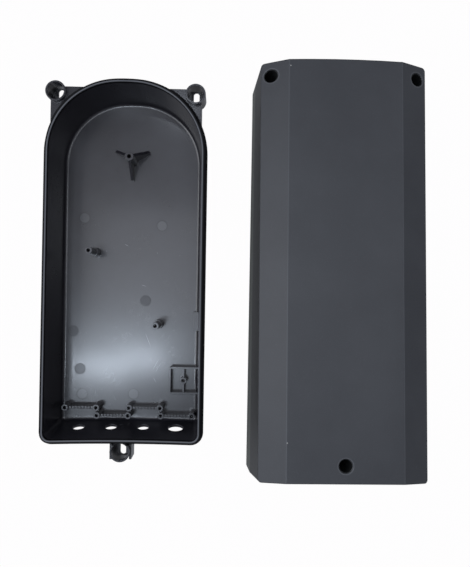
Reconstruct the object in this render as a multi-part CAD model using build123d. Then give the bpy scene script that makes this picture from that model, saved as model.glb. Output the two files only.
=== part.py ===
from build123d import *
import os
from math import atan, degrees, radians, sqrt, tan

# Injection moulded wall housing: an open base tray with an arched head, and the deep faceted
# hood that closes it. Three long screws pass through tubes in the hood into slotted lug cups
# on the tray. The hood is shown taken off and set down beside the tray, both open for work.
# Millimetres, +Z up. The origin is on the surface they lie on, at the middle of the pair.

# ---------------------------------------------------------------- three-screw pattern, shared
SCREW_SPAN_X = 132.3          # between the two upper screws
SCREW_SPAN_Y = 340.6          # from the upper pair to the lower screw
SCREW_CLEARANCE_D = 5.6       # hole or slot that a wall screw passes

# ---------------------------------------------------------------- how the two shells lie
LAY_GAP = 44.1                # between the tray's ledge and the hood's widest skirt
TRAY_SHIFT_Y = -7.0           # tray's screw pattern, measured from the hood's

# ---------------------------------------------------------------- base tray: walls
TRAY_WIDTH = 156.3            # over the ledge
TRAY_DEPTH = 50.0             # back to the top of the tongue
TRAY_CROWN = 15.4             # top of the arch beyond the upper screws
TRAY_FOOT = 4.7               # ledge of the lower end wall short of the lower screw
FOOT_BOW = 1.3                # the end wall is drawn in by this much at its middle
CROWN_RADIUS = 150.0          # flat middle arc of the arch
SHOULDER_OFFSET = 5.8         # centre of each shoulder arc, from the middle line
TRAY_CORNER_RADIUS = 12.0     # lower corners, at the ledge
TRAY_WALL = 2.6
TRAY_FLOOR = 2.5
SIDE_DRAFT = 4.2              # degrees
HEAD_DRAFT = 6.1              # degrees, top of the arch
END_DRAFT = 8.8               # degrees, lower end wall
LEDGE_WIDTH = 2.45            # shelf that the hood's rim sits on, outside the tongue
LEDGE_DROP = 6.0              # below the top of the tongue
LEDGE_THICKNESS = 3.0
FLOOR_RADIUS = 3.0            # between floor and walls, inside
BACK_RADIUS = 2.5             # between back and walls, outside

# ---------------------------------------------------------------- base tray: screw lugs
LUG_BORE_RADIUS = 8.0
LUG_WALL = 1.6
LUG_DEPTH = 20.0
LUG_FLOOR = 2.5
LUG_SLOT_LENGTH = 15.5        # end to end, along the tray
WEB_REACH = 5.6               # corner web beyond the upper lugs' centres
WEB_DROP = 4.0                # web below the lug's mouth
WEB_THICKNESS = 2.4
FLANK_THICKNESS = 2.2         # of the plates beside each lug
FLANK_STAND_OFF = 0.7         # outer face of the lower lug's flanks, outside the cup
FLANK_REACH = 8.0             # the lower lug's flanks run past its centre by this much

# ---------------------------------------------------------------- base tray: inside
PILOT_RADIUS = 1.7            # for a 4 mm thread-forming screw
STANDOFF_HEIGHT = 32.0        # above the floor
STANDOFF_TOP_RADIUS = 3.6
STANDOFF_FOOT_RADIUS = 4.7
STANDOFF_STEP = 13.0          # height of the wide foot
STANDOFFS = ((-36.9, 20.8), (29.2, -52.4))
TRIPOD_AT = (-0.4, 115.6)
TRIPOD_HEIGHT = 24.0
TRIPOD_RADIUS = 4.4
TRIPOD_BORE_RADIUS = 2.0
TRIPOD_ARM = 20.0             # length of each gusset from the centre
TRIPOD_ARM_THICKNESS = 2.6
TRIPOD_TOE = 4.0              # height of a gusset at its outer end

CLAMP_COUNT = 4
CLAMP_PITCH = 32.2            # between cables
CLAMP_SPAN = 31.4             # between the two screws of one clamp
CLAMP_CENTRE_X = 1.2
CLAMP_ROWS = (28.6, 20.8)     # alternate clamps, from the lower end of the tray
CLAMP_HEIGHT = 14.0
CLAMP_RADIUS = 3.4
CLAMP_PILOT_RADIUS = 1.6
SADDLE_THICKNESS = 2.6
SADDLE_DROP = 2.2             # saddle rib below the screw bosses
SADDLE_TEETH = 7
TOOTH = 0.9                   # width and height of one gripping tooth
TOOTH_PITCH = 3.14
CABLE_HOLE_RADIUS = 6.0
LARGE_CABLE_HOLE_RADIUS = 7.75
CABLE_HOLE_HEIGHT = 20.0      # of the hole's axis above the back

POCKET_CENTRE_Y = -109.4      # battery pocket
POCKET_SIZE = 27.8            # along the tray
POCKET_LEFT = 41.2            # outer face of its left rib
POCKET_RIB = 2.0
POCKET_HEIGHT = 10.0
POCKET_CORNER = 3.0
POCKET_POST_X = 55.9
POCKET_POST_RADIUS = 3.4
POCKET_POST_BORE = 1.8
PAD_CENTRE_Y = -49.0          # locating pad on the right wall
PAD_LENGTH = 19.6
PAD_WIDTH = 5.8 
PAD_HEIGHT = 6.0

# ---------------------------------------------------------------- hood
HOOD_LOW_WIDTH = 158.4        # skirt at the lower end
HOOD_TOP = 15.7               # skirt beyond the upper screws
HOOD_LOW = 38.0               # skirt beyond the lower screw
HOOD_WALL = 2.2                # its rim sits on the tray's ledge
RIM_CLEARANCE = 0.6           # inside the rim, round the tray's tongue and lug cups
FACE_INCLINE = 3.1            # degrees; the face falls towards the upper end
FACE_HEIGHT = 103.0           # of the middle facet, at the lower screw
FACE_TOP = 11.4               # face edge beyond the upper screws, at its corners
FACE_LOW = 15.0               # face edge beyond the lower screw
FACE_WIDTH = 147.0            # over the side walls, where they would meet the middle facet
FACE_BOW = 2.6                # crown of the upper edge
FACET_LINE = 50.6             # fold between middle and side facets, from the middle line
FACET_SLOPE = 24.0            # degrees
BAND_TOP = -2.0               # height of the flared skirt band; it runs out near the upper end
BAND_LOW = 21.0               # and is highest at the lower end
BAND_WIDTH_LOW = 154.6        # over the walls at the top of the band, lower end
BAND_FLARE = 1.0              # how far the band runs out at the lower end
HOOD_TOP_RADIUS = 3.5         # upright corners
HOOD_LOW_RADIUS = 3.2
LEAST_RADIUS = 1.0            # of any inside corner
TUBE_CLEARANCE = 0.6          # tube end in the tray's lug cup, radial
TUBE_BORE_RADIUS = 5.65
TUBE_FLOOR = 3.0
MOUTH_STEP = 0.6              # width and depth of the step round each hole in the face
TUBE_GUSSET = 14.0            # reach of the gussets at each tube's root
TUBE_GUSSET_DEPTH = 40.0      # of the gussets below the face
GUSSET_THICKNESS = 1.8
FACE_RIB_HEIGHT = 4.0
FACE_RIBS_X = (-25.0, 25.0)

screw_points = ((-SCREW_SPAN_X / 2, SCREW_SPAN_Y / 2), (SCREW_SPAN_X / 2, SCREW_SPAN_Y / 2),
                (0.0, -SCREW_SPAN_Y / 2))


def tangent(degrees):
    return tan(radians(degrees))


def block(x0, x1, y0, y1, z0, z1):
    """Box between six planes."""
    return Pos((x0 + x1) / 2, (y0 + y1) / 2, (z0 + z1) / 2) * Box(x1 - x0, y1 - y0, z1 - z0)


def rod(radius, x, y, z0, z1):
    """Upright cylinder between two heights."""
    return Pos(x, y, (z0 + z1) / 2) * Cylinder(radius, z1 - z0)


# ================================================================ base tray
def tray_outline(inset, z, drop=0.0):
    """Plan of the tray, moved inwards: two straight sides, a three-arc head, a rounded foot.

    A drop below the rim draws the head and the foot in further, by their steeper draft.
    """
    half = TRAY_WIDTH / 2 - inset
    crown = CROWN_RADIUS - inset
    shoulder = half - SHOULDER_OFFSET
    head_y = SCREW_SPAN_Y / 2 + TRAY_CROWN - inset - drop * (tangent(HEAD_DRAFT) - tangent(SIDE_DRAFT))
    foot_y = TRAY_FOOT - SCREW_SPAN_Y / 2 + inset + drop * (tangent(END_DRAFT) - tangent(SIDE_DRAFT))
    crown_y = head_y - crown
    rise = sqrt((crown - shoulder) ** 2 - SHOULDER_OFFSET ** 2)
    shoulder_y = crown_y + rise
    join_x = crown * SHOULDER_OFFSET / (crown - shoulder)
    join_y = crown_y + crown * rise / (crown - shoulder)
    mid = sqrt(0.5) * shoulder
    edges = [
        ThreePointArc((-half, foot_y), (0, foot_y + FOOT_BOW), (half, foot_y)),
        Line((half, foot_y), (half, shoulder_y)),
        ThreePointArc((half, shoulder_y), (SHOULDER_OFFSET + mid, shoulder_y + mid), (join_x, join_y)),
        ThreePointArc((join_x, join_y), (0, head_y), (-join_x, join_y)),
        ThreePointArc((-join_x, join_y), (-SHOULDER_OFFSET - mid, shoulder_y + mid),
                      (-half, shoulder_y)),
        Line((-half, shoulder_y), (-half, foot_y)),
    ]
    face = make_face(Curve() + edges)
    corners = face.vertices().sort_by(Axis.Y)[:2]
    face = fillet(corners, max(TRAY_CORNER_RADIUS - inset, LEAST_RADIUS))
    return Pos(0, 0, z) * face


def drafted(z0, z1, inset_at_rim):
    """Solid between two heights of the tray; its walls lean in towards the back."""
    plans = [tray_outline(inset_at_rim + (TRAY_DEPTH - z) * tangent(SIDE_DRAFT), z, TRAY_DEPTH - z)
             for z in (z0, z1)]
    walls = loft(plans, ruled=True).faces()
    return Solid(Shell([Face(wall.outer_wire()) if wall.is_planar else wall for wall in walls]))


def tray_cavity():
    """Inside of the tray, with the floor radius on it."""
    cavity = drafted(TRAY_FLOOR, TRAY_DEPTH, LEDGE_WIDTH + TRAY_WALL)
    cavity = fillet(cavity.edges().group_by(Axis.Z)[0], FLOOR_RADIUS)
    lip = Pos(0, 0, TRAY_DEPTH) * extrude(tray_outline(LEDGE_WIDTH + TRAY_WALL, 0), 1.0)
    return cavity + lip


def tray_shell():
    """Outer body and ledge, still solid inside."""
    body = drafted(0, TRAY_DEPTH, LEDGE_WIDTH)
    body = fillet(body.edges().group_by(Axis.Z)[0], BACK_RADIUS)
    ledge_z = TRAY_DEPTH - LEDGE_DROP - LEDGE_THICKNESS
    return body + extrude(tray_outline(0, ledge_z), LEDGE_THICKNESS)


def corner_webs():
    """Flat webs that carry the two upper lugs, with a flank along each outer edge."""
    edge_x = SCREW_SPAN_X / 2 + WEB_REACH
    edge_y = SCREW_SPAN_Y / 2 + WEB_REACH
    web_top = TRAY_DEPTH - WEB_DROP
    web_low = web_top - WEB_THICKNESS
    flank_low = TRAY_DEPTH - LUG_DEPTH
    start_y = SCREW_SPAN_Y / 2 + TRAY_CROWN - CROWN_RADIUS + LEDGE_WIDTH
    clear = extrude(tray_outline(LEDGE_WIDTH / 2, web_low), WEB_THICKNESS + LEDGE_DROP)
    webs = block(-edge_x, edge_x, start_y, edge_y, web_low, web_top) - clear
    keep_out = extrude(tray_outline(LEDGE_WIDTH + TRAY_WALL, flank_low), TRAY_DEPTH)
    flanks = block(-edge_x, edge_x, start_y, edge_y, flank_low, web_top)
    flanks -= block(-edge_x + FLANK_THICKNESS, edge_x - FLANK_THICKNESS, start_y - 1,
                    edge_y - FLANK_THICKNESS, flank_low - 1, web_top + 1)
    side_only = flanks & (block(-edge_x, edge_x, start_y, SCREW_SPAN_Y / 2, flank_low, web_top))
    reach = SCREW_SPAN_X / 2
    top_only = flanks & (block(-edge_x, edge_x, SCREW_SPAN_Y / 2, edge_y, flank_low, web_top)
                         - block(-reach / 2, reach / 2, start_y, edge_y + 1, flank_low, web_top))
    return webs + (side_only - keep_out) + (top_only - keep_out)


def lug_cups():
    """Three cups that take the hood's screw tubes; the lower one stands off the end wall."""
    outer = LUG_BORE_RADIUS + LUG_WALL
    low = TRAY_DEPTH - LUG_DEPTH
    cups = Part()
    for x, y in screw_points:
        cups += rod(outer, x, y, low, TRAY_DEPTH)
    x, y = screw_points[2]
    wall_y = (y + TRAY_FOOT + FOOT_BOW + LEDGE_WIDTH + LUG_DEPTH * tangent(END_DRAFT)
              + TRAY_WALL / 2)
    for side in (-1, 1):
        x0 = x + side * (outer + FLANK_STAND_OFF)
        x1 = x0 - side * FLANK_THICKNESS
        cups += block(min(x0, x1), max(x0, x1), y - FLANK_REACH, wall_y, low, TRAY_DEPTH - WEB_DROP)
    return cups


def lug_bores():
    """Bores and floor slots of the lug cups."""
    low = TRAY_DEPTH - LUG_DEPTH
    cuts = Part()
    for x, y in screw_points:
        cuts += rod(LUG_BORE_RADIUS, x, y, low + LUG_FLOOR, TRAY_DEPTH + 1)
        slot = Pos(x, y, low - 1) * SlotOverall(LUG_SLOT_LENGTH, SCREW_CLEARANCE_D, rotation=90)
        cuts += extrude(slot, LUG_FLOOR + 2)
    return cuts


def standoffs():
    """Two tall stepped posts for the circuit board."""
    posts = Part()
    step_z = TRAY_FLOOR + STANDOFF_STEP
    top = TRAY_FLOOR + STANDOFF_HEIGHT
    for x, y in STANDOFFS:
        posts += rod(STANDOFF_FOOT_RADIUS, x, y, TRAY_FLOOR / 2, step_z)
        posts += rod(STANDOFF_TOP_RADIUS, x, y, step_z, top)
    for x, y in STANDOFFS:
        posts -= rod(PILOT_RADIUS, x, y, step_z, top + 1)
    return posts


def tripod():
    """Screw post braced by three tapering gussets."""
    x, y = TRIPOD_AT
    top = TRAY_FLOOR + TRIPOD_HEIGHT
    low = TRAY_FLOOR / 2
    post = rod(TRIPOD_RADIUS, x, y, low, top)
    side = Polygon((0, low), (TRIPOD_ARM, low), (TRIPOD_ARM, TRAY_FLOOR + TRIPOD_TOE),
                   (TRIPOD_RADIUS, top - TRIPOD_TOE), (0, top - TRIPOD_TOE), align=None)
    arm = extrude(Plane.XZ * side, TRIPOD_ARM_THICKNESS / 2, both=True)
    for turn in (30, 150, 270):
        post += Pos(x, y, 0) * Rot(0, 0, turn) * arm
    return post - rod(TRIPOD_BORE_RADIUS, x, y, TRAY_FLOOR + TRIPOD_TOE, top + 1)


def clamp_centre(index):
    """Middle of one cable clamp; alternate clamps stand in the second row."""
    x = CLAMP_CENTRE_X + (index - (CLAMP_COUNT - 1) / 2) * CLAMP_PITCH
    return x, TRAY_FOOT - SCREW_SPAN_Y / 2 + CLAMP_ROWS[index % 2]


def cable_clamps():
    """Four saddles with toothed ribs and a screw boss at each end, linked across the rows."""
    low = TRAY_FLOOR / 2
    top = TRAY_FLOOR + CLAMP_HEIGHT
    rib_top = top - SADDLE_DROP
    half = SADDLE_THICKNESS / 2
    clamps = Part()
    bosses = []
    for index in range(CLAMP_COUNT):
        x, y = clamp_centre(index)
        ends = (x - CLAMP_SPAN / 2, x + CLAMP_SPAN / 2)
        clamps += block(ends[0], ends[1], y - half, y + half, low, rib_top)
        for tooth in range(SADDLE_TEETH):
            tooth_x = x + (tooth - (SADDLE_TEETH - 1) / 2) * TOOTH_PITCH
            clamps += block(tooth_x - TOOTH / 2, tooth_x + TOOTH / 2, y - half, y + half,
                            rib_top - TOOTH, rib_top + TOOTH)
        bosses.extend((end, y) for end in ends)
        if index:
            far_x, far_y = bosses[2 * index - 1]
            clamps += block(min(far_x, ends[0]) - half, max(far_x, ends[0]) + half,
                            min(far_y, y), max(far_y, y), low, rib_top - SADDLE_DROP)
    for x, y in bosses:
        clamps += rod(CLAMP_RADIUS, x, y, low, top)
    for x, y in bosses:
        clamps -= rod(CLAMP_PILOT_RADIUS, x, y, TRAY_FLOOR + 1, top + 1)
    return clamps


def cable_hole_cutters():
    """One hole in the lower end wall for each clamp; the last takes the thick cable."""
    rim_y = TRAY_FOOT - SCREW_SPAN_Y / 2
    cuts = Part()
    for index in range(CLAMP_COUNT):
        radius = LARGE_CABLE_HOLE_RADIUS if index == CLAMP_COUNT - 1 else CABLE_HOLE_RADIUS
        lean = (TRAY_DEPTH - CABLE_HOLE_HEIGHT + radius) * tangent(END_DRAFT)
        reach = LEDGE_WIDTH + lean + FOOT_BOW + 2 * TRAY_WALL
        cutter = Rot(90, 0, 0) * Cylinder(radius, reach)
        cuts += Pos(clamp_centre(index)[0], rim_y + reach / 2, CABLE_HOLE_HEIGHT) * cutter
    return cuts


def side_pocket():
    """Square ribbed pocket against the right wall, with a post on its middle rib."""
    wall_x = TRAY_WIDTH / 2 - LEDGE_WIDTH - TRAY_WALL / 2
    low = TRAY_FLOOR / 2
    top = TRAY_FLOOR + POCKET_HEIGHT
    y0 = POCKET_CENTRE_Y - POCKET_SIZE / 2
    y1 = POCKET_CENTRE_Y + POCKET_SIZE / 2
    outside = block(POCKET_LEFT, wall_x + POCKET_CORNER, y0, y1, low, top)
    outside = fillet(outside.edges().filter_by(Axis.Z).group_by(Axis.X)[0], POCKET_CORNER)
    inside = block(POCKET_LEFT + POCKET_RIB, wall_x + 2 * POCKET_CORNER, y0 + POCKET_RIB,
                   y1 - POCKET_RIB, low - 1, top + 1)
    ring = outside - inside
    ring += block(POCKET_POST_X - POCKET_RIB / 2, POCKET_POST_X + POCKET_RIB / 2, y0 + 1, y1 - 1,
                  low, top - POCKET_RIB)
    ring += rod(POCKET_POST_RADIUS, POCKET_POST_X, POCKET_CENTRE_Y, low, top)
    ring -= rod(POCKET_POST_BORE, POCKET_POST_X, POCKET_CENTRE_Y, TRAY_FLOOR + 1, top + 1)
    pad_x = wall_x - PAD_WIDTH - TRAY_DEPTH * tangent(SIDE_DRAFT)
    pad = block(pad_x, wall_x, PAD_CENTRE_Y - PAD_LENGTH / 2, PAD_CENTRE_Y + PAD_LENGTH / 2, low,
                TRAY_FLOOR + PAD_HEIGHT)
    return ring + pad


def base_tray():
    """Whole tray in its own frame: middle line at x = 0, middle of the screw pattern at y = 0."""
    envelope = drafted(0, TRAY_DEPTH, LEDGE_WIDTH)
    tray = tray_shell() + corner_webs() + lug_cups()
    tray -= tray_cavity()
    tray -= lug_bores()
    inner = standoffs() + tripod() + cable_clamps() + (side_pocket() & envelope)
    tray += inner
    tray -= cable_hole_cutters()
    return tray


# ================================================================ hood
def face_height(y):
    """Height of the middle facet's plane at a place along the hood."""
    return FACE_HEIGHT - (y + SCREW_SPAN_Y / 2) * tangent(FACE_INCLINE)


def wall_plane(first, second, third, inset):
    """Plane through three points of an outer wall, moved inwards; it looks outwards."""
    first = Vector(*first)
    normal = (Vector(*second) - first).cross(Vector(*third) - first).normalized()
    if normal.dot(first) < 0:
        normal = -normal
    return Plane(origin=first - normal * inset, z_dir=normal)


def within(form, *planes):
    """Form with everything outside the planes cut away."""
    for plane in planes:
        form = split(form, plane, keep=Keep.BOTTOM)
    return form


def upright_edges(form, side):
    """Corner edges at the upper end (side 1) or lower end (side -1)."""
    edges = form.edges().filter_by(lambda edge: abs(edge.tangent_at(0.5).Z) > 0.5)
    return edges.filter_by(lambda edge: side * edge.center().Y > 0)


def hood_form(inset, low):
    """Outer or inner form of the hood: drafted body on a flared band, bowed upper end, roof."""
    skirt_top = SCREW_SPAN_Y / 2 + HOOD_TOP
    skirt_low = -SCREW_SPAN_Y / 2 - HOOD_LOW
    tray_width = max(TRAY_WIDTH - 2 * LEDGE_WIDTH, SCREW_SPAN_X + 2 * (LUG_BORE_RADIUS + LUG_WALL))
    fit_width = tray_width + 2 * (RIM_CLEARANCE + HOOD_WALL)
    face_top = SCREW_SPAN_Y / 2 + FACE_TOP
    face_low = -SCREW_SPAN_Y / 2 - FACE_LOW
    bend_low = skirt_low + BAND_FLARE
    body = Pos(0, 0, low + FACE_HEIGHT) * Box(2 * HOOD_LOW_WIDTH, 3 * SCREW_SPAN_Y, 2 * FACE_HEIGHT)
    band = within(body, Plane(origin=(0, 0, 2 * BAND_LOW), z_dir=(0, 0, 1)))
    for side in (-1, 1):
        bend = ((side * fit_width / 2, skirt_top, BAND_TOP),
                (side * BAND_WIDTH_LOW / 2, bend_low, BAND_LOW))
        body = within(body, wall_plane(*bend, (side * FACE_WIDTH / 2, face_low,
                                               face_height(face_low)), inset))
        band = within(band, wall_plane(*bend, (side * HOOD_LOW_WIDTH / 2, skirt_low, 0), inset))
    bend = ((0, bend_low, BAND_LOW), (1, bend_low, BAND_LOW))
    lower_end = (wall_plane(*bend, (0, face_low, face_height(face_low)), inset),
                 wall_plane(*bend, (0, skirt_low, 0), inset))
    radius = max(HOOD_LOW_RADIUS - inset, LEAST_RADIUS)
    body, band = within(body, *lower_end), within(band, *lower_end)
    form = fillet(upright_edges(body, -1), radius) + fillet(upright_edges(band, -1), radius)

    bow = ((HOOD_LOW_WIDTH / 2) ** 2 + FACE_BOW ** 2) / (2 * FACE_BOW)
    lean = degrees(atan((skirt_top - face_top) / face_height(face_top)))
    form &= (Pos(0, skirt_top + FACE_BOW, 0) * Rot(lean, 0, 0) * Pos(0, -bow, 0)
             * Cylinder(bow - inset, 4 * FACE_HEIGHT))
    form = fillet(upright_edges(form, 1), max(HOOD_TOP_RADIUS - inset, LEAST_RADIUS))
    return form & roof_prism(inset)


def roof_prism(drop):
    """Everything below the three facets, the lot lowered for the inside of the face."""
    reach = FACE_WIDTH
    low_y = -SCREW_SPAN_Y / 2
    fold = FACET_LINE - drop * tangent(FACET_SLOPE / 2)
    side_z = -drop - (reach - fold) * tangent(FACET_SLOPE)
    section = Polygon((-reach, -3 * FACE_HEIGHT), (reach, -3 * FACE_HEIGHT), (reach, side_z),
                      (fold, -drop), (-fold, -drop), (-reach, side_z), align=None)
    prism = extrude(Plane.XZ * section, 2 * SCREW_SPAN_Y, both=True)
    return Pos(0, low_y, FACE_HEIGHT) * Rot(-FACE_INCLINE, 0, 0) * prism


def screw_tube(x, y):
    """Tube from the face down to the rim, with four gussets under the face."""
    radius = LUG_BORE_RADIUS - TUBE_CLEARANCE
    above = 2 * FACE_HEIGHT
    root = face_height(y) - TUBE_GUSSET_DEPTH
    reach = radius + TUBE_GUSSET
    flare = Pos(x, y, root + TUBE_GUSSET_DEPTH) * Cone(radius / 2, reach + radius, 2 * TUBE_GUSSET_DEPTH)
    half = GUSSET_THICKNESS / 2
    cross = block(x - reach, x + reach, y - half, y + half, root, above)
    cross += block(x - half, x + half, y - reach, y + reach, root, above)
    return rod(radius, x, y, 0, above) + (cross & flare)


def screw_hole_cutters(x, y):
    """Wide bore from the face, its shallow step at the mouth, and the screw hole in the end."""
    bore = rod(TUBE_BORE_RADIUS, x, y, TUBE_FLOOR, 2 * FACE_HEIGHT)
    step = rod(TUBE_BORE_RADIUS + MOUTH_STEP, x, y, TUBE_FLOOR, 2 * FACE_HEIGHT)
    return bore, step - roof_prism(MOUTH_STEP), rod(SCREW_CLEARANCE_D / 2, x, y, -1, TUBE_FLOOR + 1)


def face_ribs(inner):
    """Shallow stiffening ribs under the face."""
    low = roof_prism(HOOD_WALL + FACE_RIB_HEIGHT)
    half = GUSSET_THICKNESS / 2
    end_y = SCREW_SPAN_Y / 2
    ribs = Part()
    for x in FACE_RIBS_X:
        ribs += block(x - half, x + half, -end_y, end_y, 0, 2 * FACE_HEIGHT)
    for y in (-end_y / 2, 0, end_y / 2):
        ribs += block(-FACET_LINE, FACET_LINE, y - half, y + half, 0, 2 * FACE_HEIGHT)
    return (ribs & inner) - low


def front_hood():
    """Whole hood in its own frame, rim down: same datum as the tray."""
    outer = hood_form(0.0, 0.0)
    inner = hood_form(HOOD_WALL, -1.0)
    hood = outer - inner
    hood += face_ribs(inner)
    for x, y in screw_points:
        hood += screw_tube(x, y) & outer
    for x, y in screw_points:
        for cutter in screw_hole_cutters(x, y):
            hood -= cutter
    return hood


# ================================================================ set down side by side
total_width = TRAY_WIDTH + LAY_GAP + HOOD_LOW_WIDTH
tray_x = (TRAY_WIDTH - total_width) / 2
hood_x = (total_width - HOOD_LOW_WIDTH) / 2
hood_y = (HOOD_LOW - HOOD_TOP - FACE_BOW) / 2

shapes = {
    "base_tray": Pos(tray_x, hood_y + TRAY_SHIFT_Y, 0) * base_tray(),
    "front_hood": Pos(hood_x, hood_y, 0) * front_hood(),
}
os.makedirs("parts", exist_ok=True)
for name, shape in shapes.items():
    export_step(shape, f"parts/{name}.step")
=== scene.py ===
import logging
import math
from dataclasses import dataclass
from enum import Enum
from functools import reduce
from typing import Any, Iterable, Optional, Sequence, Union

import bpy
import numpy as np
from mathutils import Matrix, Vector

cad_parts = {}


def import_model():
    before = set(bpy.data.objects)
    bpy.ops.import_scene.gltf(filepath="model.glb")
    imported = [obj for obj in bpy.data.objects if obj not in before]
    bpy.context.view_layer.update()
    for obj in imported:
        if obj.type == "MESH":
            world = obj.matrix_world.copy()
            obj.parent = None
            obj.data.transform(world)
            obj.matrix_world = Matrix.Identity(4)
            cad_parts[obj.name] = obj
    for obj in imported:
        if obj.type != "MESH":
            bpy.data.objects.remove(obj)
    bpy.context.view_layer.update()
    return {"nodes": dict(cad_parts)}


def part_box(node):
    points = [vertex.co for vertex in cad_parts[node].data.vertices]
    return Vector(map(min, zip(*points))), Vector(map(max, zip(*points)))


# Wall housing in two black mouldings: the open base tray on its back, and the faceted hood set
# down on its rim beside it. Metres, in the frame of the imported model, +Z up.

log = logging.getLogger("housing")

MM = 0.001

Number = Union[int, float]
Colour = tuple[float, float, float]
Point2 = tuple[float, float]
Point3 = tuple[float, float, float]
Step = tuple[float, float]          # where a smooth step starts and where it ends

WHITE: Colour = (1.0, 1.0, 1.0)
PLASTIC_IOR = 1.5


# ------------------------------------------------------------------------------ shader maths
class Signal:
    """A shader socket that takes part in Python arithmetic."""

    def __init__(self, graph: "Graph", socket: bpy.types.NodeSocket) -> None:
        """Wraps an output socket of the graph's tree."""
        self.graph = graph
        self.socket = socket

    def _math(self, operation: str, *values: Any) -> "Signal":
        """One Math node over one or two values or signals."""
        return self.graph.node("ShaderNodeMath", {"operation": operation}, dict(enumerate(values)))

    def __add__(self, other: Any) -> "Signal":
        """self + other."""
        return self._math("ADD", self, other)

    def __radd__(self, other: Number) -> "Signal":
        """other + self."""
        return self._math("ADD", other, self)

    def __sub__(self, other: Any) -> "Signal":
        """self - other."""
        return self._math("SUBTRACT", self, other)

    def __rsub__(self, other: Number) -> "Signal":
        """other - self."""
        return self._math("SUBTRACT", other, self)

    def __mul__(self, other: Any) -> "Signal":
        """self * other."""
        return self._math("MULTIPLY", self, other)

    def __rmul__(self, other: Number) -> "Signal":
        """other * self."""
        return self._math("MULTIPLY", other, self)

    def __truediv__(self, other: Any) -> "Signal":
        """self / other."""
        return self._math("DIVIDE", self, other)

    def __pow__(self, other: Any) -> "Signal":
        """self raised to other."""
        return self._math("POWER", self, other)

    def __abs__(self) -> "Signal":
        """Size of self without its sign."""
        return self._math("ABSOLUTE", self)

    def least(self, other: Any) -> "Signal":
        """The smaller of self and other."""
        return self._math("MINIMUM", self, other)

    def most(self, other: Any) -> "Signal":
        """The larger of self and other."""
        return self._math("MAXIMUM", self, other)

    def root(self) -> "Signal":
        """Square root."""
        return self._math("SQRT", self)

    def ramp(self, low: Number, high: Number) -> "Signal":
        """Smooth step from 0 at low to 1 at high, or down where low is the larger.

        Args:
            low: value at which the step starts.
            high: value at which it ends.

        Returns:
            The step, held between 0 and 1.
        """
        settings = {"interpolation_type": "SMOOTHSTEP", "clamp": True}
        return self.graph.node("ShaderNodeMapRange", settings,
                               {"Value": self, "From Min": low, "From Max": high})

    def above(self, level: Number) -> "Signal":
        """Of a height in metres: a smooth step from 0 at a level to 1 a millimetre over it."""
        return self.ramp(level, level + MM)

    def swing(self, amount: Number) -> "Signal":
        """Of a noise from 0 to 1: the same noise about 0, amount from its lowest to its highest."""
        return (self - 0.5) * amount


@dataclass(frozen=True)
class Noise:
    """Cloudy noise from 0 to 1: cells in a metre, levels of detail and how strongly they show."""

    per_metre: float
    detail: float = 2.0
    roughness: float = 0.5


@dataclass(frozen=True)
class Relief:
    """How far a height of 1 stands out, in metres, and how strongly it turns the normal."""

    depth: float
    strength: float


class Graph:
    """Node tree of one material or of the world."""

    def __init__(self, tree: bpy.types.NodeTree) -> None:
        """Starts from an empty tree."""
        tree.nodes.clear()
        self.tree = tree

    def node(self, kind: str, settings: Optional[dict[str, Any]] = None,
             inputs: Optional[dict[Any, Any]] = None, output: Union[int, str] = 0) -> Signal:
        """Adds a node of any kind.

        Args:
            kind: Blender's name of the node type.
            settings: properties set before the inputs.
            inputs: values or signals by input name or number.
            output: name or number of the output wanted.

        Returns:
            The chosen output as a signal, which is empty for a node without outputs.
        """
        made = self.tree.nodes.new(kind)
        for name, value in (settings or {}).items():
            setattr(made, name, value)
        for name, value in (inputs or {}).items():
            socket = made.inputs[name]
            if isinstance(value, Signal):
                self.tree.links.new(value.socket, socket)
            elif socket.type == "RGBA":
                socket.default_value = (*value, 1.0)
            else:
                socket.default_value = value
        return Signal(self, made.outputs[output] if made.outputs else None)

    def place(self) -> Signal:
        """Object coordinates: metres in the model's frame."""
        return self.node("ShaderNodeTexCoord", output="Object")

    def split(self, vector: Signal) -> tuple[Signal, Signal, Signal]:
        """Takes a vector apart.

        Args:
            vector: the vector.

        Returns:
            Its X, Y and Z.
        """
        made = self.node("ShaderNodeSeparateXYZ", inputs={0: vector}).socket.node
        x, y, z = (Signal(self, output) for output in made.outputs)
        return x, y, z

    def ray_kinds(self) -> tuple[Signal, Signal, Signal]:
        """Tells rays apart by what they come from.

        Returns:
            1 on rays from the camera, on mirrored ones and on those that pass through something.
        """
        made = self.node("ShaderNodeLightPath").socket.node
        camera, glossy, through = (Signal(self, made.outputs[name]) for name in
                                   ("Is Camera Ray", "Is Glossy Ray", "Is Transmission Ray"))
        return camera, glossy, through

    def noise(self, place: Signal, noise: Noise) -> Signal:
        """Reads a noise.

        Args:
            place: where it is read, in metres.
            noise: the noise.

        Returns:
            Its value, from 0 to 1.
        """
        return self.node("ShaderNodeTexNoise", {"noise_dimensions": "3D"},
                         {"Vector": place, "Scale": noise.per_metre, "Detail": noise.detail,
                          "Roughness": noise.roughness})

    def blend(self, mask: Signal, low: Any, high: Any) -> Signal:
        """Colour between low and high by a mask; 6, 7 and 2 are the Mix node's colour sockets."""
        return self.node("ShaderNodeMix", {"data_type": "RGBA", "clamp_factor": True},
                         {0: mask, 6: low, 7: high}, 2)

    def bumped(self, height: Signal, relief: Relief, under: Signal) -> Signal:
        """Lays a height map over a normal.

        Args:
            height: the height map.
            relief: how far it stands out.
            under: the normal under it.

        Returns:
            The new normal.
        """
        return self.node("ShaderNodeBump", inputs={
            "Height": height, "Distance": relief.depth, "Strength": relief.strength,
            "Normal": under})

    def rounded(self, radius: Number, samples: int = 6) -> Signal:
        """Normal that rolls over every edge with the given radius, as moulded edges do."""
        return self.node("ShaderNodeBevel", {"samples": samples}, {"Radius": radius})


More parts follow.
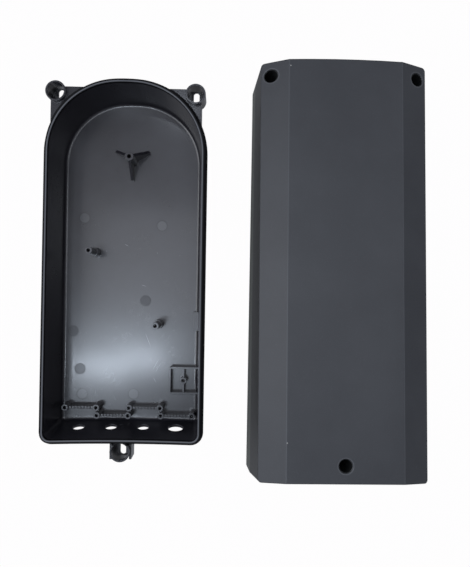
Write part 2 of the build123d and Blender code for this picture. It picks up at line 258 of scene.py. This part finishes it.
def new_material(name: str) -> tuple[bpy.types.Material, Graph]:
    """Makes an empty node material.

    Args:
        name: the material's name.

    Returns:
        The material and its graph.
    """
    material = bpy.data.materials.new(name)
    material.use_nodes = True
    return material, Graph(material.node_tree)


def hypotenuse(first: Signal, second: Signal) -> Signal:
    """Root of the sum of the squares of two legs."""
    return (first ** 2.0 + second ** 2.0).root()


def distance(x: Signal, y: Signal, centre: Point2) -> Signal:
    """Distance from a centre, in the unit that all of them are in."""
    return hypotenuse(x - centre[0], y - centre[1])


def largest(masks: Iterable[Signal]) -> Signal:
    """The largest of several masks at each place."""
    return reduce(Signal.most, masks)


# ------------------------------------------------------------------------------ finishes
@dataclass(frozen=True)
class TongueOutline:
    """Outer outline of the tray's sealing tongue, in millimetres from the tray's datum.

    Straight sides turn over the shoulders in arcs, a wide arc closes the head, and a foot that
    bows inwards meets the sides in round corners.
    """

    side_centre: float = 5.8        # the shoulder arcs' centres, either side of the middle line
    side_radius: float = 69.9
    shoulder: float = 113.0
    crown_centre: float = 35.8
    crown_radius: float = 147.5
    foot: float = -163.15           # the foot's place at the sides
    foot_bow: float = 1.3           # how far inwards its middle lies
    corner: float = 9.55

    def away(self, x: Signal, y: Signal) -> Signal:
        """Distance from the outline.

        It is the largest of the distances from the sides, the crown and the foot. Where sides and
        foot meet, the root of the squares of both, taken from the corner's centre, rounds it.

        Args:
            x: millimetres from the middle line.
            y: millimetres from the datum.

        Returns:
            Millimetres outside the outline, less than 0 inside it.
        """
        half_width = self.side_centre + self.side_radius
        side = (hypotenuse((abs(x) - self.side_centre).most(0.0), (y - self.shoulder).most(0.0))
                - self.side_radius)
        crown = hypotenuse(x, (y - self.crown_centre).most(0.0)) - self.crown_radius
        foot = (1.0 - (x / half_width) ** 2.0) * self.foot_bow + self.foot - y
        past_side, past_foot = side + self.corner, foot + self.corner
        low_end = (hypotenuse(past_side.most(0.0), past_foot.most(0.0))
                   + past_side.most(past_foot).least(0.0) - self.corner)
        return low_end.most(crown)


@dataclass(frozen=True)
class ShadedRim:
    """Painted shade on the tray's tongue and ledge, and a thin painted highlight along its inside.

    Steps are in millimetres outside the tongue's outline, heights in metres.
    """

    outline: TongueOutline = TongueOutline()
    outer_edge: Step = (2.8, 2.5)
    inner_face: Step = (-2.5, -2.8)
    inner_edge: Step = (-4.6, -4.0)
    outer_foot: float = 37.5 * MM
    inner_foot: float = 46.0 * MM
    # Where the painted highlight lies across and up the tongue.
    line_inside: Step = (-3.1, -2.7)
    line_outside: Step = (-1.2, -1.7)
    line_height: Step = (48.8 * MM, 49.4 * MM)

    def masks(self, x: Signal, y: Signal, z: Signal) -> tuple[Signal, Signal]:
        """Steps on the distance from the tongue's outline and on the height.

        Args:
            x: millimetres from the middle line.
            y: millimetres from the datum.
            z: height in metres.

        Returns:
            1 on the rim's painted shade, and 1 on its painted highlight line.
        """
        away = self.outline.away(x, y)
        inside = away.ramp(*self.inner_face)
        # Painted shade over the ledge and the tongue.
        rim_shade = (away.ramp(*self.outer_edge) * z.above(self.outer_foot) * (1.0 - inside)
                + away.ramp(*self.inner_edge) * z.above(self.inner_foot) * inside)
        # Painted highlight along the inside of the tongue's top.
        line = (away.ramp(*self.line_inside) * away.ramp(*self.line_outside)
                * z.ramp(*self.line_height))
        return rim_shade, line


@dataclass(frozen=True)
class PinMarks:
    """Round marks of ejector pins, in millimetres from the tray's datum."""

    centres: tuple[Point2, ...]
    radius: float = 5.3
    softness: float = 0.2
    ring: Step = (0.6, 0.2)

    def masks(self, x: Signal, y: Signal) -> tuple[Signal, Signal]:
        """Steps on the distance from each mark's centre.

        Args:
            x: millimetres from the middle line.
            y: millimetres from the datum.

        Returns:
            1 inside the marks, and 1 on their outlines.
        """
        distances = [distance(x, y, centre) for centre in self.centres]
        discs = largest(away.ramp(self.radius + self.softness, self.radius - self.softness)
                        for away in distances)
        rings = largest(abs(away - self.radius).ramp(*self.ring) for away in distances)
        return discs, rings


@dataclass(frozen=True)
class Scratches:
    """Short straight scratches, as pairs of end points in millimetres from the tray's datum."""

    ends: tuple[tuple[Point2, Point2], ...] = (
        ((15.0, -62.0), (21.5, -78.0)), ((23.0, -101.0), (30.0, -88.0)),
        ((25.5, -104.0), (33.0, -91.0)), ((27.0, -99.0), (28.5, -96.0)),
        ((24.0, -108.0), (27.5, -114.0)), ((10.0, -12.0), (16.0, -14.0)),
        ((-8.0, 30.0), (-3.0, 27.5)))
    width: Step = (0.32, 0.05)
    grown: float = 1.0 / 3.0        # share of its length after which a scratch is at its strongest
    waning: float = 1.0 / 2.0       # share after which it fades out

    def mask(self, x: Signal, y: Signal) -> Signal:
        """1 on the scratches: steps on the distances across and along each one."""
        return largest(self.one(x, y, first, last) for first, last in self.ends)

    def one(self, x: Signal, y: Signal, first: Point2, last: Point2) -> Signal:
        """The mask of one scratch.

        Args:
            x: millimetres from the middle line.
            y: millimetres from the datum.
            first: point where the scratch starts.
            last: point where it ends.

        Returns:
            1 on the scratch.
        """
        length = math.dist(first, last)
        ux, uy = (last[0] - first[0]) / length, (last[1] - first[1]) / length
        dx, dy = x - first[0], y - first[1]
        along = dx * ux + dy * uy
        across = abs(dx * uy - dy * ux)
        return (across.ramp(*self.width) * along.ramp(0.0, length * self.grown)
                * along.ramp(length, length * self.waning))


@dataclass(frozen=True)
class Dust:
    """Specks of dust: the innermost part of a few cells of a coarse cell pattern."""

    cells_per_metre: float = 90.0
    speck: Step = (0.045, 0.02)
    choice: Noise = Noise(17.0, 0.0)
    chosen: Step = (0.62, 0.64)
    strength: float = 0.5

    def mask(self, graph: Graph, place: Signal) -> Signal:
        """Steps on the distance from each cell's middle and on a slow noise that picks the cells.

        Args:
            graph: the material's graph.
            place: metres in the model's frame.

        Returns:
            The strength on the specks, 0 elsewhere.
        """
        cells = graph.node("ShaderNodeTexVoronoi", {"feature": "F1"},
                           {"Vector": place, "Scale": self.cells_per_metre}, "Distance")
        chosen = graph.noise(place, self.choice).ramp(*self.chosen)
        return cells.ramp(*self.speck) * chosen * self.strength


@dataclass(frozen=True)
class TrayPlastic:
    """Black plastic with the soft gloss of a stoned mould, marked by pins, dust and scratches.

    Over its broad gloss lies a sharper one, the skin. Its rim is dark and dull with painted
    shade, and a painted highlight runs along the tongue's inside. Its own lengths are in
    metres, and those of its marks, scratches and rim are as their classes say.
    """

    colour: Colour = (0.0135, 0.0132, 0.0170)
    cloud_colour: Colour = (0.0195, 0.0195, 0.0250)
    mark_colour: Colour = (0.054, 0.055, 0.060)
    # Painted shade on the rim; also the dark outlines of the pin marks.
    shade_colour: Colour = (0.006, 0.006, 0.007)
    # Painted highlight along the tongue's inside.
    rim_highlight_colour: Colour = (0.12, 0.124, 0.135)
    scratch_colour: Colour = (0.26, 0.26, 0.28)
    cloud_cover: Step = (0.35, 0.75)
    mark_cover: float = 0.8
    ring_cover: float = 0.7
    scratch_cover: float = 0.8

    roughness: float = 0.30
    cloud_swing: float = 0.10
    grain_swing: float = 0.08
    ripple_swing: float = 0.07
    dull_roughness: float = 0.08
    specular: float = 0.5
    skin: float = 0.45
    skin_roughness: float = 0.15
    ring_skin_loss: float = 0.8
    dull_skin_loss: float = 0.6
    # The rim's painted shade is dull as well as dark.
    shaded_rim_roughness: float = 0.55
    shaded_rim_swing: float = 0.1
    shaded_rim_specular: float = 0.12

    cloud: Noise = Noise(28.0, 3.0, 0.55)
    grain: Noise = Noise(1900.0)
    ripple: Noise = Noise(260.0, 3.0, 0.6)
    edge_radius: float = 0.8 * MM
    grain_relief: Relief = Relief(0.012 * MM, 0.5)
    cloud_relief: Relief = Relief(0.25 * MM, 0.35)
    ripple_relief: Relief = Relief(0.02 * MM, 0.25)
    mark_relief: Relief = Relief(0.03 * MM, 0.7)

    floor: Step = (4.0 * MM, 3.0 * MM)      # heights between which the floor's marks begin
    pale_marks: PinMarks = PinMarks(((-49.6, 56.4), (30.6, 49.7), (-49.1, -126.0), (3.9, -125.5)))
    dull_marks: PinMarks = PinMarks(((14.8, -28.7), (-59.2, -60.9), (-51.7, -100.0)))
    scratches: Scratches = Scratches()
    dust: Dust = Dust()
    rim: ShadedRim = ShadedRim()

    def material(self, datum: Vector) -> bpy.types.Material:
        """The finish for a tray whose datum is at the given place.

        Args:
            datum: the tray's datum in the model's frame.

        Returns:
            The new material.
        """
        material, graph = new_material("tray_plastic")
        place = graph.place()
        x, y, z = graph.split(place)
        x, y = (x - datum.x) / MM, (y - datum.y) / MM
        on_floor = z.ramp(*self.floor)

        cloud = graph.noise(place, self.cloud)
        grain = graph.noise(place, self.grain)
        ripple = graph.noise(place, self.ripple)
        pale, pale_rings = (mask * on_floor for mask in self.pale_marks.masks(x, y))
        dull, dull_rings = (mask * on_floor for mask in self.dull_marks.masks(x, y))
        marks, rings = pale.most(dull), pale_rings.most(dull_rings)
        scratches = self.scratches.mask(x, y) * on_floor
        specks = self.dust.mask(graph, place)
        # The rim's painted shade, and its painted highlight line.
        rim_shade, line = self.rim.masks(x, y, z)

        colour = graph.blend(cloud.ramp(*self.cloud_cover), self.colour, self.cloud_colour)
        colour = graph.blend(pale * self.mark_cover, colour, self.mark_colour)
        colour = graph.blend(rings * self.ring_cover, colour, self.shade_colour)
        colour = graph.blend(scratches * self.scratch_cover + specks, colour, self.scratch_colour)
        roughness = (self.roughness + cloud.swing(self.cloud_swing) + dull * self.dull_roughness
                     + grain.swing(self.grain_swing) + ripple.swing(self.ripple_swing))
        skin = (self.skin * (1.0 - rings * self.ring_skin_loss)
                * (1.0 - dull * self.dull_skin_loss))
        normal = graph.rounded(self.edge_radius)
        for height, relief in ((grain, self.grain_relief), (cloud, self.cloud_relief),
                               (ripple, self.ripple_relief),
                               (scratches + marks, self.mark_relief)):
            normal = graph.bumped(height, relief, normal)

        plain_surface = graph.node("ShaderNodeBsdfPrincipled", inputs={
            "Base Color": colour, "Roughness": roughness, "Normal": normal, "IOR": PLASTIC_IOR,
            "Specular IOR Level": self.specular, "Coat Weight": skin,
            "Coat Roughness": self.skin_roughness})
        # Dark, dull painted shade on the rim, with the painted highlight line in it.
        shaded_rim_surface = graph.node("ShaderNodeBsdfPrincipled", inputs={
            "Base Color": graph.blend(line, self.shade_colour, self.rim_highlight_colour),
            "Roughness": self.shaded_rim_roughness + grain.swing(self.shaded_rim_swing), "Normal": normal,
            "IOR": PLASTIC_IOR, "Specular IOR Level": self.shaded_rim_specular})
        surface = graph.node("ShaderNodeMixShader",
                             inputs={0: rim_shade, 1: plain_surface, 2: shaded_rim_surface})
        graph.node("ShaderNodeOutputMaterial", inputs={"Surface": surface})
        return material


@dataclass(frozen=True)
class HoodPlastic:
    """Dark grey plastic from a spark-eroded mould: finely pebbled and dull. It carries a painted
    highlight on the folds and round the wells, painted shade on the sides and a painted
    reflection of the ground low on them.

    Lengths are in metres. A place has its X from the hood's middle line and its Y from the
    model's origin.
    """

    colour: Colour = (0.0345, 0.0365, 0.0420)
    cloud_colour: Colour = (0.0430, 0.0455, 0.0515)
    # Pale tips of the pebbling; also the painted highlight on the folds and round the wells.
    pale_grain_and_highlight_colour: Colour = (0.10, 0.105, 0.115)
    # Painted shade on the sides.
    side_shade_colour: Colour = (0.0100, 0.0110, 0.0115)
    # Painted reflection of the white ground on the sides' lower band.
    ground_reflection_colour: Colour = (0.072, 0.078, 0.068)
    chip_colour: Colour = (0.33, 0.33, 0.31)
    cloud_cover: Step = (0.3, 0.7)
    pebble_tips: Step = (0.55, 0.75)
    tip_cover: float = 0.25
    fold_highlight_cover: float = 0.35
    mouth_highlight_cover: float = 0.5

    roughness: float = 0.52
    pebble_swing: float = 0.12
    cloud_swing: float = 0.06
    cloud: Noise = Noise(14.0, 4.0, 0.6)
    pebble: Noise = Noise(1300.0, 2.0, 0.6)
    pebble_relief: Relief = Relief(0.05 * MM, 0.8)
    edge_radius: float = 1.5 * MM

    fold: float = 50.6 * MM                     # from the middle line to either fold
    fold_width: Step = (0.7 * MM, 0.1 * MM)
    fold_floor: float = 70.0 * MM               # the folds run above this height
    face_floor: float = 60.0 * MM               # chips and the painted highlights round the well openings lie above this height
    lip: Step = (29.0 * MM, 25.0 * MM)          # heights between which the painted reflection of the ground begins, on the lip
    upright: Step = (0.75, 0.50)                # Z of the normal, from the face to the sides' painted shade
    chips: tuple[Point2, ...] = ((-0.0493, 0.1874), (-0.0499, -0.1415))
    chip_edge: Step = (0.7 * MM, 0.35 * MM)
    wells: tuple[Point2, ...] = ((-0.06615, 0.18015), (0.06615, 0.18015), (0.0, -0.16045))
    mouth_radius: float = 6.8 * MM
    mouth_edge: Step = (0.6 * MM, 0.3 * MM)

    def material(self, middle: float) -> bpy.types.Material:
        """The finish for a hood whose middle line is at the given X.

        Args:
            middle: X of the hood's middle line.

        Returns:
            The new material.
        """
        material, graph = new_material("hood_plastic")
        place = graph.place()
        x, y, z = graph.split(place)
        x = x - middle
        cloud = graph.noise(place, self.cloud)
        pebble = graph.noise(place, self.pebble)
        rounded = graph.rounded(self.edge_radius)
        _, _, facing_up = graph.split(rounded)

        # Painted highlight along the folds.
        fold = abs(abs(x) - self.fold).ramp(*self.fold_width) * z.above(self.fold_floor)
        on_face = z.above(self.face_floor)
        chips = largest(distance(x, y, chip).ramp(*self.chip_edge) for chip in self.chips)
        # Painted highlight round the rim of each well.
        mouth_highlights = largest(abs(distance(x, y, well) - self.mouth_radius).ramp(*self.mouth_edge)
                         for well in self.wells)

        colour = graph.blend(cloud.ramp(*self.cloud_cover), self.colour, self.cloud_colour)
        colour = graph.blend(pebble.ramp(*self.pebble_tips) * self.tip_cover, colour,
                             self.pale_grain_and_highlight_colour)
        colour = graph.blend(fold * self.fold_highlight_cover, colour, self.pale_grain_and_highlight_colour)
        # Painted shade on the sides, where the normal leans from upright, with a painted reflection
        # of the ground low on them.
        side = graph.blend(z.ramp(*self.lip), self.side_shade_colour, self.ground_reflection_colour)
        colour = graph.blend(facing_up.ramp(*self.upright), colour, side)
        colour = graph.blend(chips * on_face, colour, self.chip_colour)
        colour = graph.blend(mouth_highlights * on_face * self.mouth_highlight_cover, colour, self.pale_grain_and_highlight_colour)
        roughness = (self.roughness + pebble.swing(self.pebble_swing)
                     + cloud.swing(self.cloud_swing))
        surface = graph.node("ShaderNodeBsdfPrincipled", inputs={
            "Base Color": colour, "Roughness": roughness,
            "Normal": graph.bumped(pebble, self.pebble_relief, rounded), "IOR": PLASTIC_IOR})
        graph.node("ShaderNodeOutputMaterial", inputs={"Surface": surface})
        return material


@dataclass(frozen=True)
class WhiteGround:
    """Pale sheet that shows as white, with soft shade where it is closely covered."""

    colour: Colour = (0.40, 0.40, 0.41)
    white: Colour = (1.0, 0.995, 1.0)
    seen: float = 0.985                     # share of the even white that the camera sees
    mirrored: float = 0.10                  # share of it that shows in gloss
    cover_reach: float = 40.0 * MM          # how far up something still covers the sheet
    cover_samples: int = 8
    uncovered: Step = (0.04, 0.16)          # open share of the sky over which the white comes in

    def material(self) -> bpy.types.Material:
        """Diffuse sheet, mixed with an even white where it is seen or mirrored.

        Returns:
            The new material.
        """
        material, graph = new_material("white_ground")
        sheet = graph.node("ShaderNodeBsdfDiffuse", inputs={"Color": self.colour})
        white = graph.node("ShaderNodeEmission", inputs={"Color": self.white, "Strength": 1.0})
        open_sky = graph.node("ShaderNodeAmbientOcclusion", {"samples": self.cover_samples},
                              {"Distance": self.cover_reach}, "AO")
        camera, glossy, _ = graph.ray_kinds()
        share = camera * self.seen * open_sky.ramp(*self.uncovered) + glossy * self.mirrored
        mixed = graph.node("ShaderNodeMixShader", inputs={0: share, 1: sheet, 2: white})
        graph.node("ShaderNodeOutputMaterial", inputs={"Surface": mixed})
        return material


# ------------------------------------------------------------------------------ the housing
@dataclass
class BaseTray:
    """The open tray, whose datum is its middle line and the middle of its screw pattern."""

    finish: TrayPlastic
    lug_reach: float = 179.9 * MM      # from the datum down to the lowest lug's outer wall
    half_width: float = 78.15 * MM     # from the datum to the left side of the tray's box

    def datum(self) -> Vector:
        """The datum's place in the model, on the tray's back face."""
        low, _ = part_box("base_tray")
        return Vector((low[0] + self.half_width, low[1] + self.lug_reach, low[2]))

    def dress(self, node: bpy.types.Object) -> None:
        """Puts the finish on the tray's solid."""
        put_finish(node, self.finish.material(self.datum()))


@dataclass
class FrontHood:
    """The faceted hood, whose middle line is the middle of its box."""

    finish: HoodPlastic

    def dress(self, node: bpy.types.Object) -> None:
        """Puts the finish on the hood's solid."""
        low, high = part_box("front_hood")
        put_finish(node, self.finish.material((low[0] + high[0]) / 2))


def put_finish(node: bpy.types.Object, material: bpy.types.Material) -> None:
    """Fills every material slot of a solid with one finish.

    Args:
        node: the solid.
        material: its finish.
    """
    if not node.material_slots:
        node.data.materials.append(material)
    for slot in node.material_slots:
        slot.material = material
    log.info("%s wears %s", node.name, material.name)


# ------------------------------------------------------------------------------ the studio
OVERHEAD = 1.5                              # height of the lamps that shine straight down
STRIP_COLOUR: Colour = (0.77, 0.87, 1.0)


@dataclass(frozen=True)
class Panel:
    """A soft rectangular lamp, which shines straight down or, with an aim, towards that point."""

    place: Point3
    size: Point2
    watts: float
    colour: Colour
    aim: Optional[Point3] = None

    def direction(self) -> Vector:
        """Way that the lamp shines.

        Returns:
            The line from its middle to the ground below it, or to its aim.
        """
        if self.aim is None:
            return Vector((0.0, 0.0, -self.place[2]))
        return Vector(self.aim) - Vector(self.place)


class Lamp(Enum):
    """The studio's lamps: strips and panels overhead, and a large one at the left side."""

    STRIP_LEFT = Panel((-0.50, -0.335, OVERHEAD), (0.22, 0.08), 2.1, STRIP_COLOUR)
    STRIP_RIGHT = Panel((-0.32, -0.305, OVERHEAD), (0.15, 0.08), 1.36, STRIP_COLOUR)
    STRIP_GLOW = Panel((-0.41, -0.22, OVERHEAD), (0.32, 0.12), 0.55, STRIP_COLOUR)
    STRIP_END = Panel((-0.17, -0.27, OVERHEAD), (0.16, 0.18), 0.46, STRIP_COLOUR)
    PANEL = Panel((-0.26, 0.07, OVERHEAD), (0.56, 0.46), 1.85, (0.86, 0.90, 1.0))
    HEAD_PANEL = Panel((-0.25, 0.46, OVERHEAD), (0.70, 0.36), 0.36, (0.86, 0.88, 1.0))
    HEAD_SPOT = Panel((-0.18, 0.64, OVERHEAD), (0.12, 0.16), 0.60, (0.80, 0.88, 1.0))
    RIGHT_PANEL = Panel((0.47, 0.22, OVERHEAD), (0.40, 0.40), 1.90, (0.86, 0.91, 1.0))
    SIDE = Panel((-1.60, 0.10, 1.60), (1.20, 1.60), 19.5, (0.93, 0.95, 1.0), (0.0, 0.0, 0.0))

    def make(self) -> bpy.types.Object:
        """Adds this lamp to the scene.

        Returns:
            The lamp's object.
        """
        panel = self.value
        data = bpy.data.lights.new(self.name.lower(), "AREA")
        data.shape, data.size, data.size_y = "RECTANGLE", *panel.size
        data.energy, data.color = panel.watts, panel.colour
        lamp = bpy.data.objects.new(self.name.lower(), data)
        lamp.location = panel.place
        lamp.rotation_euler = panel.direction().to_track_quat("-Z", "Y").to_euler()
        bpy.context.scene.collection.objects.link(lamp)
        return lamp


@dataclass
class Studio:
    """White ground, soft light and the camera that looks almost straight down.

    Lengths are in metres, apart from the film's, and pixels are those of the camera's frame.
    """

    ground: WhiteGround
    ground_size: float = 6.0
    ground_height: float = -0.2 * MM        # just under the housing, so that no faces coincide
    sky_colour: Colour = (0.90, 0.92, 1.0)
    sky_light: float = 0.40
    mirrored_sky: float = 0.28
    frame_width: int = 470
    frame_height: int = 567
    focal_pixels: float = 500.0
    nadir_pixel: Point2 = (223.0, 287.0)    # pixel that looks straight down
    height: float = 0.525
    above: Point2 = (-0.0062, -0.0102)      # point of the ground that it looks straight down on
    roll_degrees: float = 0.9
    film: float = 36.0                      # its height in millimetres
    clip: Point2 = (0.01, 20.0)

    def make_ground(self) -> None:
        """Flat sheet just under the housing, as a two by two grid of points."""
        side = np.array([-self.ground_size / 2, self.ground_size / 2])
        gx, gy = np.meshgrid(side, side)
        points = np.stack([gx.ravel(), gy.ravel(), np.full(gx.size, self.ground_height)], axis=1)
        mesh = bpy.data.meshes.new("ground")
        mesh.from_pydata(points.tolist(), [], [(0, 1, 3, 2)])
        mesh.materials.append(self.ground.material())
        ground = bpy.data.objects.new("ground", mesh)
        bpy.context.scene.collection.objects.link(ground)

    def make_sky(self) -> None:
        """Even light from all round, with white behind everything that the camera sees."""
        world = bpy.data.worlds.new("soft_room")
        world.use_nodes = True
        bpy.context.scene.world = world
        graph = Graph(world.node_tree)
        camera, glossy, through = graph.ray_kinds()
        room, mirrored, white = (
            graph.node("ShaderNodeBackground", inputs={"Color": colour, "Strength": strength})
            for colour, strength in ((self.sky_colour, self.sky_light),
                                     (self.sky_colour, self.mirrored_sky), (WHITE, 1.0)))
        lit = graph.node("ShaderNodeMixShader", inputs={0: glossy, 1: room, 2: mirrored})
        shown = graph.node("ShaderNodeMixShader",
                           inputs={0: camera.most(through), 1: lit, 2: white})
        graph.node("ShaderNodeOutputWorld", inputs={"Surface": shown})

    def make_camera(self) -> None:
        """Camera above the ground, tilted and rolled so that nadir_pixel looks straight down.

        The turn takes the ray of that pixel to straight down by the shortest way, then rolls
        about the vertical.
        """
        data = bpy.data.cameras.new("camera")
        data.sensor_fit = "VERTICAL"
        data.sensor_height = self.film
        data.lens = self.focal_pixels / self.frame_height * self.film
        data.clip_start, data.clip_end = self.clip
        ray = Vector((self.nadir_pixel[0] - self.frame_width / 2,
                      self.frame_height / 2 - self.nadir_pixel[1], -self.focal_pixels))
        tilt = ray.rotation_difference(Vector((0.0, 0.0, -1.0))).to_matrix()
        roll = Matrix.Rotation(math.radians(self.roll_degrees), 3, "Z")
        camera = bpy.data.objects.new("camera", data)
        camera.matrix_world = (Matrix.Translation((*self.above, self.height))
                               @ (roll @ tilt).to_4x4())
        bpy.context.scene.collection.objects.link(camera)
        bpy.context.scene.camera = camera

    def build(self) -> None:
        """Ground, sky, lamps and camera."""
        self.make_ground()
        self.make_sky()
        for lamp in Lamp:
            lamp.make()
        self.make_camera()
        bpy.context.scene.view_settings.view_transform = "Standard"


def main() -> None:
    """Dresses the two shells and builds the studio."""
    logging.basicConfig(level=logging.INFO, format="%(message)s")
    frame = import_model()
    BaseTray(TrayPlastic()).dress(frame["nodes"]["base_tray"])
    FrontHood(HoodPlastic()).dress(frame["nodes"]["front_hood"])
    Studio(WhiteGround()).build()


if __name__ == "__main__":
    main()
